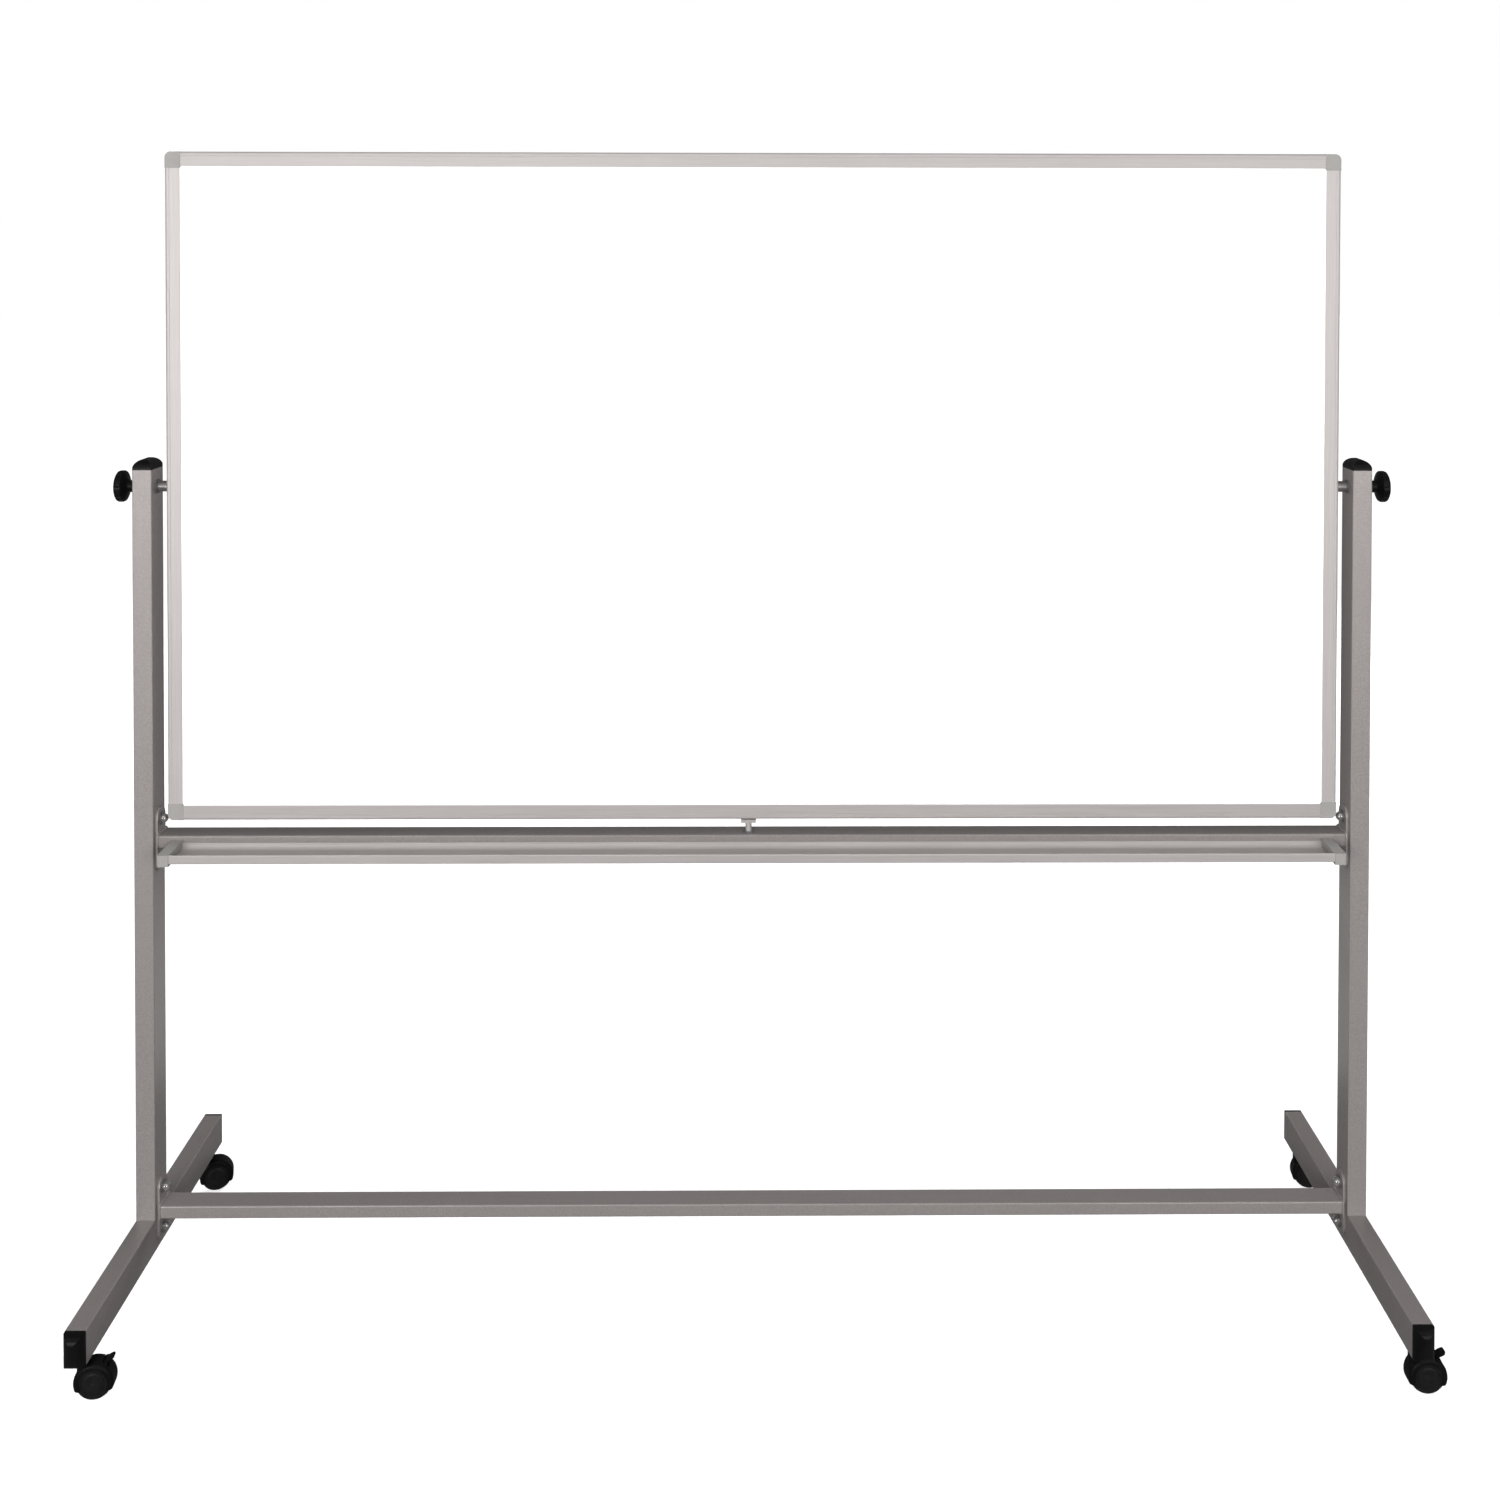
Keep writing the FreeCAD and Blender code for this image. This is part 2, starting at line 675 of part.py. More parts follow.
def make_latch():
    """Spring latch under the board: flat head on a stem, two bushings, a spring and a pull knob."""
    x, y = -size("latch_side"), -size("latch_front")
    stem, top = size("latch_stem"), size("pivot_height") - size("board_tall") / 2 - size("latch_gap")
    bar_top, bar_under = size("upper_bar_top"), size("upper_bar_top") - size("bar_tall")
    pull_top = bar_under - 10
    collar = bar_top - tube_wall - 1.3
    plunger = turned("latch_plunger", [
        (0, pull_top - PULL_BITE), (stem, pull_top - PULL_BITE), (stem, collar - 1),
        (LATCH_SLEEVE + 1.3, collar - 1),
        (LATCH_SLEEVE + 1.3, collar), (stem, collar), (stem, top - 0.5), (0, top - 0.5)])
    head = new_sketch(plunger, "XY_Plane", top)
    draw_outline(head, centred(size("latch_head_wide"), size("latch_head_deep"), 1.2))
    pad(plunger, head, size("latch_head_thick"), reverse=True)
    keep(place(plunger, x, y, 0))
    bottom, bore = pull_top - PULL_TALL, pull_top - PULL_BITE - PRESS_GAP
    pull = turned("latch_pull_knob", [
        (0, bottom), (PULL_RADIUS - 2, bottom), (PULL_RADIUS, bottom + 2), (PULL_RADIUS, pull_top - 3),
        (PULL_RADIUS - 2, pull_top), (stem + TIGHT_GAP, pull_top), (stem + TIGHT_GAP, bore), (0, bore)])
    keep(place(pull, x, y, 0))
    upper = turned("latch_upper_bushing", [
        (stem + SPIN_GAP, bar_top - tube_wall), (LATCH_SLEEVE, bar_top - tube_wall),
        (LATCH_SLEEVE, bar_top), (LATCH_BUSHING_FLANGE, bar_top),
        (LATCH_BUSHING_FLANGE, bar_top + 0.6), (stem + 1.5, bar_top + 2.6), (stem + SPIN_GAP, bar_top + 2.6)])
    lower = turned("latch_lower_bushing", [
        (stem + SPIN_GAP, bar_under - 1.4), (LATCH_BUSHING_FLANGE, bar_under - 1.4),
        (LATCH_BUSHING_FLANGE, bar_under), (LATCH_SLEEVE, bar_under),
        (LATCH_SLEEVE, bar_under + tube_wall), (stem + SPIN_GAP, bar_under + tube_wall)])
    keep_group("latch_bushings", [place(upper, x, y, 0), place(lower, x, y, 0)])
    make_latch_spring(x, y, bar_under + tube_wall, collar - 1)


def make_latch_spring(x, y, low, high):
    wire = 0.5
    coil = size("latch_stem") + wire + 0.25
    helix = doc.addObject("Part::Helix", "latch_spring_path")
    bind(helix, "Height", high - low - 2 * wire - 0.2)
    bind(helix, "Pitch", (high - low - 2 * wire - 0.2) / 5)
    bind(helix, "Radius", coil)
    place(helix, x, y, low + wire + 0.1)
    section = doc.addObject("Part::Circle", "latch_spring_wire")
    bind(section, "Radius", wire)
    place(section, x + coil, y, low + wire + 0.1, Rotation(Vector(1, 0, 0), 90))
    spring = doc.addObject("Part::Sweep", "latch_spring")
    spring.Label = "latch_spring"
    spring.Sections = [section]
    spring.Spine = (helix, [])
    spring.Solid = True
    spring.Frenet = True
    keep(spring)


# ---------------------------------------------------------------- board

def rail_section():
    """Half-hollow rail: raised bead with round outer edges, flat face, slot for the panel."""
    thick, bead, step = size("board_thick"), size("rail_bead"), size("rail_step")
    face, inset, radius = size("rail_face"), size("panel_inset"), size("rail_round")
    slot = (thick - size("panel_thick")) / 2 - size("fit_gap")
    return [
        (0, 0, radius), (bead, 0, 0.5), (bead, step), (face, step, 0.5), (face, slot),
        (inset, slot), (inset, thick - slot), (face, thick - slot), (face, thick - step, 0.5),
        (bead, thick - step), (bead, thick, 0.5), (0, thick, radius)]


def make_rail(label, length, x, z, turn, flip=1, pivot=False):
    """One rail, with a counterbored screw hole near each end."""
    thick, wall = size("board_thick"), size("rail_wall")
    body = new_body(label)
    section = new_sketch(body, "XY_Plane")
    draw_outline(section, rail_section())
    chamber_end = size("panel_inset") - CHAMBER_RIB
    draw_outline(section, rectangle(wall, wall + CHAMBER_LIP, chamber_end, thick - wall - CHAMBER_LIP))
    pad(body, section, length, symmetric=True)
    for radius, depth in ((SCREW_HEAD + PRESS_GAP, SCREW_HEAD_THICK), (SCREW_SHANK + PRESS_GAP, wall + 0.5)):
        holes = new_sketch(body, "YZ_Plane")
        for end in (-1, 1):
            draw_circle(holes, thick / 2, end * (length / 2 - size("tongue") / 2), radius)
        pocket(body, holes, depth, reverse=True)
    if pivot:
        hole = new_sketch(body, "YZ_Plane")
        draw_circle(hole, thick / 2, 0, size("stud_radius") + 0.5)
        pocket(body, hole, wall + 0.5, reverse=True)
    keep(place(body, x, -flip * thick / 2, z, turn))


def make_rails():
    half_wide, half_tall = size("board_wide") / 2, size("board_tall") / 2
    across = size("board_wide") - 2 * size("corner_wide")
    upright = size("board_tall") - 2 * size("corner_tall")
    middle = size("pivot_height")
    along_x = Rotation(Vector(0, 1, 0), -90)
    make_rail("bottom_rail", across, 0, middle - half_tall, along_x)
    make_rail("top_rail", across, 0, middle + half_tall, Rotation(Vector(0, 1, 0), 90))
    make_rail("left_rail", upright, -half_wide, middle, Rotation(), pivot=True)
    make_rail("right_rail", upright, half_wide, middle, HALF_TURN_Z, flip=-1, pivot=True)


def make_panel():
    slack = size("panel_inset") + 0.5
    wide = size("board_wide") - 2 * slack
    tall = size("board_tall") - 2 * slack
    core_thick = size("panel_thick") - 2 * size("sheet_thick")
    low = size("pivot_height") - tall / 2
    pieces = (
        ("front_writing_sheet", size("sheet_thick"), -size("panel_thick") / 2),
        ("board_core", core_thick, -core_thick / 2),
        ("rear_writing_sheet", size("sheet_thick"), core_thick / 2))
    for label, thick, y in pieces:
        keep(place(solid_block(label, wide, thick, tall), -wide / 2, y, low))


def make_corner(label, x_side, z_side):
    """Moulded corner: a block with a round outer corner, a panel slot and two rail tongues."""
    wide, tall, thick = size("corner_wide"), size("corner_tall"), size("board_thick")
    inset, gap, wall = size("panel_inset"), size("fit_gap"), size("rail_wall")
    body = extruded(label, "XZ_Plane", [
        (0, 0, size("corner_round")), (wide, 0), (wide, tall, 2.5), (0, tall)], thick)
    slot = new_sketch(body, "XZ_Plane")
    draw_outline(slot, rectangle(inset, inset, wide + 1, tall + 1))
    pocket(body, slot, size("panel_thick") + 2 * gap, symmetric=True)
    tongues = new_sketch(body, "XZ_Plane")
    low, high = wall + gap, inset - CHAMBER_RIB - gap
    draw_outline(tongues, [
        (low, tall - 2), (low, tall + size("tongue")), (high, tall + size("tongue")), (high, high),
        (wide + size("tongue"), high), (wide + size("tongue"), low), (wide - 2, low), (wide - 2, high - 1),
        (high - 1, high - 1), (high - 1, tall - 2)])
    pad(body, tongues, thick - 2 * (wall + CHAMBER_LIP + gap), symmetric=True)
    pilot_tall = new_sketch(body, "YZ_Plane")
    draw_circle(pilot_tall, 0, tall + size("tongue") / 2, SCREW_SHANK + TIGHT_GAP)
    pocket(body, pilot_tall, inset, reverse=True)
    pilot_wide = new_sketch(body, "XY_Plane")
    draw_circle(pilot_wide, wide + size("tongue") / 2, 0, SCREW_SHANK + TIGHT_GAP)
    pocket(body, pilot_wide, inset, reverse=True)
    turns = {(-1, -1): Rotation(), (1, -1): HALF_TURN_Z,
             (-1, 1): Rotation(Vector(1, 0, 0), 180), (1, 1): Rotation(Vector(0, 1, 0), 180)}
    keep(place(body, x_side * size("board_wide") / 2, 0,
               size("pivot_height") + z_side * size("board_tall") / 2, turns[x_side, z_side]))


def make_corners():
    screws = []
    reach_x = size("board_wide") / 2 - size("corner_wide") - size("tongue") / 2
    reach_z = size("board_tall") / 2 - size("corner_tall") - size("tongue") / 2
    for z_name, z_side in (("bottom", -1), ("top", 1)):
        for x_name, x_side in SIDES.items():
            make_corner(f"{z_name}_{x_name}_corner", x_side, z_side)
            spots = (
                (x_side * reach_x, z_side * size("board_tall") / 2, towards(0, 0, z_side)),
                (x_side * size("board_wide") / 2, z_side * reach_z, towards(x_side, 0, 0)))
            for x, z, turn in spots:
                screw = turned(f"corner_screw_{len(screws) + 1}", [
                    (0, -SCREW_LENGTH), (SCREW_SHANK, -SCREW_LENGTH),
                    (SCREW_SHANK, -SCREW_HEAD_THICK), (SCREW_HEAD, -SCREW_HEAD_THICK),
                    (SCREW_HEAD, 0), (0, 0)])
                screws.append(place(screw, x, 0, size("pivot_height") + z, turn))
    keep_group("corner_screws", screws)


# ---------------------------------------------------------------- pivots and knobs

def make_pivots():
    """Each pivot: a bushing in the post, a spacer, and a nut bar inside the board's rail."""
    stud, thin = size("stud_radius"), PRESS_GAP
    half_wide, middle = size("board_wide") / 2, size("pivot_height")
    bushings, spacers, bars = [], [], []
    for side_name, side in SIDES.items():
        flange, body_radius = size("bushing_flange"), size("bushing_radius")
        bushing = turned(f"{side_name}_pivot_bushing", [
            (stud + thin, -size("bushing_thick")), (flange, -size("bushing_thick")), (flange, 0),
            (body_radius, 0), (body_radius, tube_wide), (stud + thin, tube_wide)])
        bushings.append(place(bushing, side * size("post_inner"), 0, middle, towards(side, 0, 0)))
        reach = size("post_inner") - size("bushing_thick") - size("running_gap") - half_wide
        spacer = sleeve(f"{side_name}_pivot_spacer", stud + BOLT_GAP, size("spacer_radius"), 0, reach)
        spacers.append(place(spacer, side * half_wide, 0, middle, towards(side, 0, 0)))
        bars.append(make_nut_bar(side_name, side))
    keep_group("pivot_bushings", bushings)
    keep_group("pivot_spacers", spacers)
    keep_group("pivot_nut_bars", bars)


def make_nut_bar(side_name, side):
    """A bar inside the side rail's chamber, tapped for the knob's stud."""
    wall, gap = size("rail_wall"), size("fit_gap")
    deep = size("board_thick") - 2 * wall - 1.2 - 2 * gap
    thick = size("panel_inset") - CHAMBER_RIB - wall - 2 * gap
    bar = extruded(f"{side_name}_nut_bar", "YZ_Plane", centred(deep, as_length(60)), thick,
                   symmetric=False)
    hole = new_sketch(bar, "YZ_Plane")
    draw_circle(hole, 0, 0, size("stud_radius") + PRESS_GAP)
    pocket(bar, hole, thick * 2, symmetric=True)
    turn = HALF_TURN_Z if side > 0 else Rotation()
    return place(bar, side * (size("board_wide") / 2 - wall - gap), 0, size("pivot_height"), turn)


def make_knob(side_name):
    """Clamping knob: boss, tapered back, scalloped rim and shallow face, on a threaded stud."""
    side = SIDES[side_name]
    face, boss, tall = size("knob_radius"), size("knob_boss"), size("knob_tall")
    rim, gap, stud = size("knob_rim"), size("running_gap"), size("stud_radius")
    under = tall - rim
    body = turned(f"{side_name}_knob_grip", [
        (0, gap), (boss, gap), (boss, under - 7.5), (boss + 1.5, under - 6), (face - 3, under - 2),
        (face - 0.8, under - 0.8), (face, under + 0.6), (face, tall - 3), (face - 0.8, tall - 1.2),
        (face - 2.6, tall), (face - 8, tall), (face - 9, tall - 1.2), (6, tall - 1.2), (5, tall), (0, tall)])
    scallop = new_sketch(body, "XY_Plane", tall)
    draw_circle(scallop, face + SCALLOP_RADIUS - size("knob_lobe"), 0, SCALLOP_RADIUS)
    cut = pocket(body, scallop, rim + 3)
    pattern = body.newObject("PartDesign::PolarPattern", "Lobes")
    pattern.Originals = [cut]
    pattern.Axis = (scallop, ["N_Axis"])
    pattern.Angle = 360
    pattern.Occurrences = LOBES
    body.Tip = pattern
    doc.recompute()
    bore = new_sketch(body, "XY_Plane")
    draw_circle(bore, 0, 0, stud + TIGHT_GAP)
    pocket(body, bore, KNOB_BORE, reverse=True)
    outer = size("post_inner") + tube_wide
    keep(place(body, side * outer, 0, size("pivot_height"), towards(side, 0, 0)))
    tip = outer - size("board_wide") / 2 + size("panel_inset") - 2
    stud_body = turned(f"{side_name}_knob_stud", [
        (0, -tip), (stud - 0.8, -tip), (stud, 0.8 - tip), (stud, KNOB_BORE - 0.1), (0, KNOB_BORE - 0.1)])
    keep(place(stud_body, side * outer, 0, size("pivot_height"), towards(side, 0, 0)))


# ---------------------------------------------------------------- casters

CASTERS = {
    # name: (side, end, swivel angle at rest in degrees, has a brake)
    "front_left": (-1, -1, 6, True),
    "front_right": (1, -1, -1, True),
    "rear_left": (-1, 1, 17, False),
    "rear_right": (1, 1, -6, False),
}


def make_caster(name):
    side, end, angle, has_brake = CASTERS[name]
    turn = Rotation(Vector(0, 0, 1), angle)
    stem_x = side * post_centre
    ahead = turn.multVec(Vector(1, 0, 0))
    axle_x = stem_x + size("caster_trail") * ahead.x
    axle_y = end * stem_y + size("caster_trail") * ahead.y
    axle_z = size("wheel_radius")
    keep(place(make_housing(f"{name}_caster_housing", has_brake), axle_x, axle_y, axle_z, turn))
    make_caster_pins(name, stem_x, end * stem_y, axle_x, axle_y, turn)
    for wheel_name, way in (("front", -1), ("back", 1)):
        axis = turn.multVec(Vector(0, way, 0))
        wheel = make_wheel(f"{name}_caster_{wheel_name}_wheel")
        keep(place(wheel, axle_x, axle_y, axle_z, towards(axis.x, axis.y, 0)))
    if has_brake:
        keep(place(make_brake(f"{name}_brake_lever"), axle_x, axle_y, axle_z, turn))


def make_housing(label, has_brake):
    """Hooded housing about its axle: barrel-shaped hood, middle web, two wheel wells, a neck."""
    hood, half, web = size("hood_radius"), size("hood_half"), size("web_half")
    wall, round_off = size("hood_wall"), size("hood_round")
    trail, radius = size("caster_trail"), size("wheel_radius")
    neck_top = size("leg_under") - size("socket_thick") - NECK_GAP - radius
    body = new_body(label)
    barrel = new_sketch(body, "XY_Plane")
    draw_outline(barrel, [(0, -half), (hood, -half, round_off), (hood, half, round_off), (0, half)])
    turn_profile(body, barrel)
    neck = new_sketch(body, "XY_Plane", radius * 0.4)
    draw_circle(neck, -trail, 0, size("caster_neck"))
    pad(body, neck, neck_top - radius * 0.4)
    if has_brake:
        lugs = new_sketch(body, "XZ_Plane")
        draw_circle(lugs, BRAKE_X, BRAKE_Z, LUG_RADIUS)
        pad(body, lugs, as_length(2 * (BRAKE_HALF + 3)), symmetric=True)
    wells = new_sketch(body, "XY_Plane")
    inner, opening = half - wall, hood - 8.2
    for way in (-1, 1):
        draw_outline(wells, [
            (0, way * web), (hood - wall, way * web), (hood - wall, way * inner, round_off - wall),
            (opening, way * inner), (opening, way * (half + 1)), (0, way * (half + 1))])
    turn_profile(body, wells, "PartDesign::Groove")
    under = new_sketch(body, "XZ_Plane")
    draw_outline(under, rectangle(-hood - 2, -hood - 2, hood + 2, -size("skirt_end")))
    pocket(body, under, symmetric=True)
    stem = new_sketch(body, "XY_Plane", neck_top)
    draw_circle(stem, -trail, 0, size("caster_stem") + TIGHT_GAP)
    pocket(body, stem, STEM_BITE)
    axle = new_sketch(body, "XZ_Plane")
    draw_circle(axle, 0, 0, size("axle_radius") + TIGHT_GAP)
    pocket(body, axle, symmetric=True)
    if has_brake:
        slot = new_sketch(body, "XZ_Plane")
        draw_outline(slot, rectangle(BRAKE_X - 4, BRAKE_Z - 4.2, BRAKE_X + 5, BRAKE_Z + 8))
        pocket(body, slot, as_length(2 * BRAKE_HALF + 0.8), symmetric=True)
        pins = new_sketch(body, "XZ_Plane")
        draw_circle(pins, BRAKE_X, BRAKE_Z, PIN_RADIUS + 0.08)
        pocket(body, pins, as_length(2 * (BRAKE_HALF + 2.4)), symmetric=True)
    return body


def make_caster_pins(name, stem_x, stem_y_place, axle_x, axle_y, turn):
    """The swivel stem and the axle of one caster."""
    under = size("leg_under")
    low = under - size("socket_thick") - NECK_GAP - STEM_BITE + 0.1
    high = under + size("socket_length") - 4
    stem = turned(f"{name}_caster_stem", [
        (0, low), (size("caster_stem"), low), (size("caster_stem"), high - 1),
        (size("caster_stem") - 1, high), (0, high)])
    place(stem, stem_x, stem_y_place, 0)
    axle = doc.addObject("Part::Cylinder", f"{name}_caster_axle")
    bind(axle, "Radius", size("axle_radius"))
    bind(axle, "Height", 2 * AXLE_HALF)
    back = turn.multVec(Vector(0, -AXLE_HALF, 0))
    along = turn.multVec(Vector(0, 1, 0))
    place(axle, axle_x + back.x, axle_y + back.y, size("wheel_radius"), towards(along.x, along.y, 0))
    keep_group(f"{name}_caster_pins", [stem, axle])


def make_wheel(label):
    """Moulded wheel: blind bore, flat tread, round shoulder, and a hub disc in a shallow ring."""
    radius, web = size("wheel_radius"), size("web_half")
    near = web + 0.5
    far = size("hood_half") - size("hood_wall") - 0.5
    shoulder = 5
    return turned(label, [
        (size("axle_radius") + SPIN_GAP, near), (radius - 0.8, near), (radius, near + 0.8),
        (radius, far, shoulder), (17.5, far), (17, far - 0.8), (15.6, far - 0.8), (15, far),
        (12, far + 0.8), (0, far + 1), (0, far - 1.6), (size("axle_radius") + SPIN_GAP, far - 1.6)])


def make_brake(label):
    """Brake lever: a tab with a rounded end, a hub, and two trunnions."""
    wide = BRAKE_HALF - 0.3
    body = extruded(label, "XZ_Plane", [
        (BRAKE_X - 1, BRAKE_Z + 0.5), (BRAKE_X + 11.5, BRAKE_Z + 6.2), (BRAKE_X + 12, BRAKE_Z + 8),
        (BRAKE_X + 10.8, BRAKE_Z + 9.2), (BRAKE_X + 4, BRAKE_Z + 6.2), (BRAKE_X - 1.5, BRAKE_Z + 2)],
        as_length(2 * wide))
    trim(body, "XY_Plane", rectangle(BRAKE_X - 10, -wide, BRAKE_X + 12.2, wide, as_length(5)),
         rectangle(BRAKE_X - 12, -wide - 2, BRAKE_X + 20, wide + 2))
    for radius, half in ((2.4, BRAKE_HALF), (PIN_RADIUS, BRAKE_HALF + 2.2)):
        across = new_sketch(body, "XZ_Plane")
        draw_circle(across, BRAKE_X, BRAKE_Z, radius)
        pad(body, across, as_length(2 * half), symmetric=True)
    return body


def make_caster_sockets():
    """Flanged sockets pushed into the legs' undersides for the caster stems."""
    sockets = []
    for name, (side, end, *_) in CASTERS.items():
        bore, flange = size("caster_stem") + SPIN_GAP, size("socket_flange")
        outer, thick, long = size("socket_radius"), size("socket_thick"), size("socket_length")
        socket = turned(f"{name}_caster_socket", [
            (bore, -thick), (flange, -thick), (flange, 0), (outer, 0), (outer, long), (0, long),
            (0, long - 2), (bore, long - 2)])
        sockets.append(place(socket, side * post_centre, end * stem_y, size("leg_under")))
    keep_group("caster_sockets", sockets)


# ---------------------------------------------------------------- build and write

for side_name in SIDES:
    make_post(side_name)
    make_leg(side_name)
make_caps()
make_crossbar("lower_crossbar", lower_bar_middle)
make_upper_crossbar()
make_end_plates()
make_bolts()
make_tray()
make_tray_screws()
for side_name in SIDES:
    make_tray_end_cap(side_name)
make_latch()
make_rails()
make_panel()
make_corners()
make_pivots()
for side_name in SIDES:
    make_knob(side_name)
make_caster_sockets()
for caster_name in CASTERS:
    make_caster(caster_name)
doc.recompute()

for thing in doc.Objects:
    if "Invalid" in thing.State or "Error" in thing.State:
        raise RuntimeError(f"{thing.Label} did not build: {thing.State}")
for node in nodes:
    if node.Shape.isNull() or not node.Shape.isValid() or not node.Shape.Solids:
        raise RuntimeError(f"{node.Label} has no valid solid")

os.makedirs("parts", exist_ok=True)
for node in nodes:
    node.Shape.exportStep(f"parts/{node.Label}.step")
print(len(nodes), "nodes written")
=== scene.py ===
"""The looks of the rolling whiteboard: materials, spring, weld beads, floor, light and camera.

Metres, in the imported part's own frame: +X right, +Y away from the reader, +Z up, floor at Z = 0.
"""

import json
import math

import bmesh
import bpy
from mathutils import Matrix, Vector


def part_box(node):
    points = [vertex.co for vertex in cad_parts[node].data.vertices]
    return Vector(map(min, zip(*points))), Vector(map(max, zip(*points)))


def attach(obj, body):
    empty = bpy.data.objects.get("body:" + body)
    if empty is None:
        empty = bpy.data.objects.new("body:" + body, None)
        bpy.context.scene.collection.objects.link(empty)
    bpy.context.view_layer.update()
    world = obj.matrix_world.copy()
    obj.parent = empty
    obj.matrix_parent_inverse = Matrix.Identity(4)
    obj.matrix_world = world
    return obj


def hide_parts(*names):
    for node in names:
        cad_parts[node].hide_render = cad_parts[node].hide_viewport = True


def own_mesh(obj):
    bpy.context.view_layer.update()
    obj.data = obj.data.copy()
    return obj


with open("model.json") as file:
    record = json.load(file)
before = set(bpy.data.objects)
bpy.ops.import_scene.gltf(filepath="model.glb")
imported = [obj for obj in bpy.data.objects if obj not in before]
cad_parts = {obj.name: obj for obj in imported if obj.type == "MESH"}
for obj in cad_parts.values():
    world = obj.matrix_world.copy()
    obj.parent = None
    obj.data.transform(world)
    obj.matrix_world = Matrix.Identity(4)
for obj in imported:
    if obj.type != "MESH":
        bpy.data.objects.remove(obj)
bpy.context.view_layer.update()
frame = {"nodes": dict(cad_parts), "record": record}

MM = 0.001
UP = Vector((0, 0, 1))
SLOT_OF_NODE = {s["node"]: s["material_slot"] for s in frame["record"]["subparts"]}


# ---------------------------------------------------------------- shader graph helpers


class Graph:
    """One material's node tree, with a short call for each kind of node that the finishes use."""

    def __init__(self, name):
        self.material = bpy.data.materials.new(name)
        self.material.use_nodes = True
        self.tree = self.material.node_tree
        self.tree.nodes.clear()
        self.shader = self.tree.nodes.new("ShaderNodeBsdfPrincipled")
        output = self.tree.nodes.new("ShaderNodeOutputMaterial")
        self.tree.links.new(self.shader.outputs["BSDF"], output.inputs["Surface"])
        place = self.tree.nodes.new("ShaderNodeTexCoord")
        self.place = place.outputs["Object"]

    def feed(self, socket, value):
        """Links an output to the socket, or writes a plain value on it."""
        if isinstance(value, bpy.types.NodeSocket):
            self.tree.links.new(value, socket)
        else:
            socket.default_value = value

    def constant(self, **values):
        """Writes plain values on the shader's own sockets. A name has _ for each space."""
        for name, value in values.items():
            self.shader.inputs[name.replace("_", " ")].default_value = value

    def maths(self, operation, first, second):
        node = self.tree.nodes.new("ShaderNodeMath")
        node.operation = operation
        self.feed(node.inputs[0], first)
        self.feed(node.inputs[1], second)
        return node.outputs[0]

    def stretched(self, factors):
        """The object's own coordinates, each multiplied by a factor of its own."""
        node = self.tree.nodes.new("ShaderNodeVectorMath")
        node.operation = "MULTIPLY"
        self.feed(node.inputs[0], self.place)
        node.inputs[1].default_value = factors
        return node.outputs[0]

    def noise(self, per_metre, detail=3.0, stretch=None, distortion=0.0):
        """Noise from 0 to 1 with about per_metre features in a metre."""
        node = self.tree.nodes.new("ShaderNodeTexNoise")
        node.inputs["Scale"].default_value = per_metre
        node.inputs["Detail"].default_value = detail
        node.inputs["Distortion"].default_value = distortion
        self.feed(node.inputs["Vector"], self.stretched(stretch) if stretch else self.place)
        return node.outputs["Fac"]

    def spread(self, value, low, high, out_low=0.0, out_high=1.0):
        """Maps low..high to out_low..out_high with a smooth step, and holds it flat outside."""
        node = self.tree.nodes.new("ShaderNodeMapRange")
        node.interpolation_type = "SMOOTHSTEP"
        self.feed(node.inputs["Value"], value)
        node.inputs["From Min"].default_value = low
        node.inputs["From Max"].default_value = high
        node.inputs["To Min"].default_value = out_low
        node.inputs["To Max"].default_value = out_high
        return node.outputs["Result"]

    def mixed(self, factor, first, second):
        """A colour between first and second."""
        node = self.tree.nodes.new("ShaderNodeMix")
        node.data_type = "RGBA"
        self.feed(node.inputs["Factor"], factor)
        colour_inputs = [s for s in node.inputs if s.type == "RGBA"]
        self.feed(colour_inputs[0], first)
        self.feed(colour_inputs[1], second)
        return [s for s in node.outputs if s.type == "RGBA"][0]

    def axis(self, letter):
        """One of the object's own coordinates, in metres."""
        node = self.tree.nodes.new("ShaderNodeSeparateXYZ")
        self.feed(node.inputs[0], self.place)
        return node.outputs[letter]

    def distance_from(self, point):
        """The distance in metres from a point in the object's own coordinates."""
        node = self.tree.nodes.new("ShaderNodeVectorMath")
        node.operation = "DISTANCE"
        self.feed(node.inputs[0], self.place)
        node.inputs[1].default_value = point
        return node.outputs["Value"]

    def bump(self, height, depth, below=None):
        """A bump that is depth metres deep where height goes from 0 to 1."""
        node = self.tree.nodes.new("ShaderNodeBump")
        node.inputs["Strength"].default_value = 1.0
        node.inputs["Distance"].default_value = depth
        self.feed(node.inputs["Height"], height)
        if below is not None:
            self.feed(node.inputs["Normal"], below)
        return node.outputs["Normal"]


def shade(colour, factor):
    """The colour, times factor, with alpha 1."""
    return tuple(min(1.0, c * factor) for c in colour) + (1.0,)


# ---------------------------------------------------------------- finishes


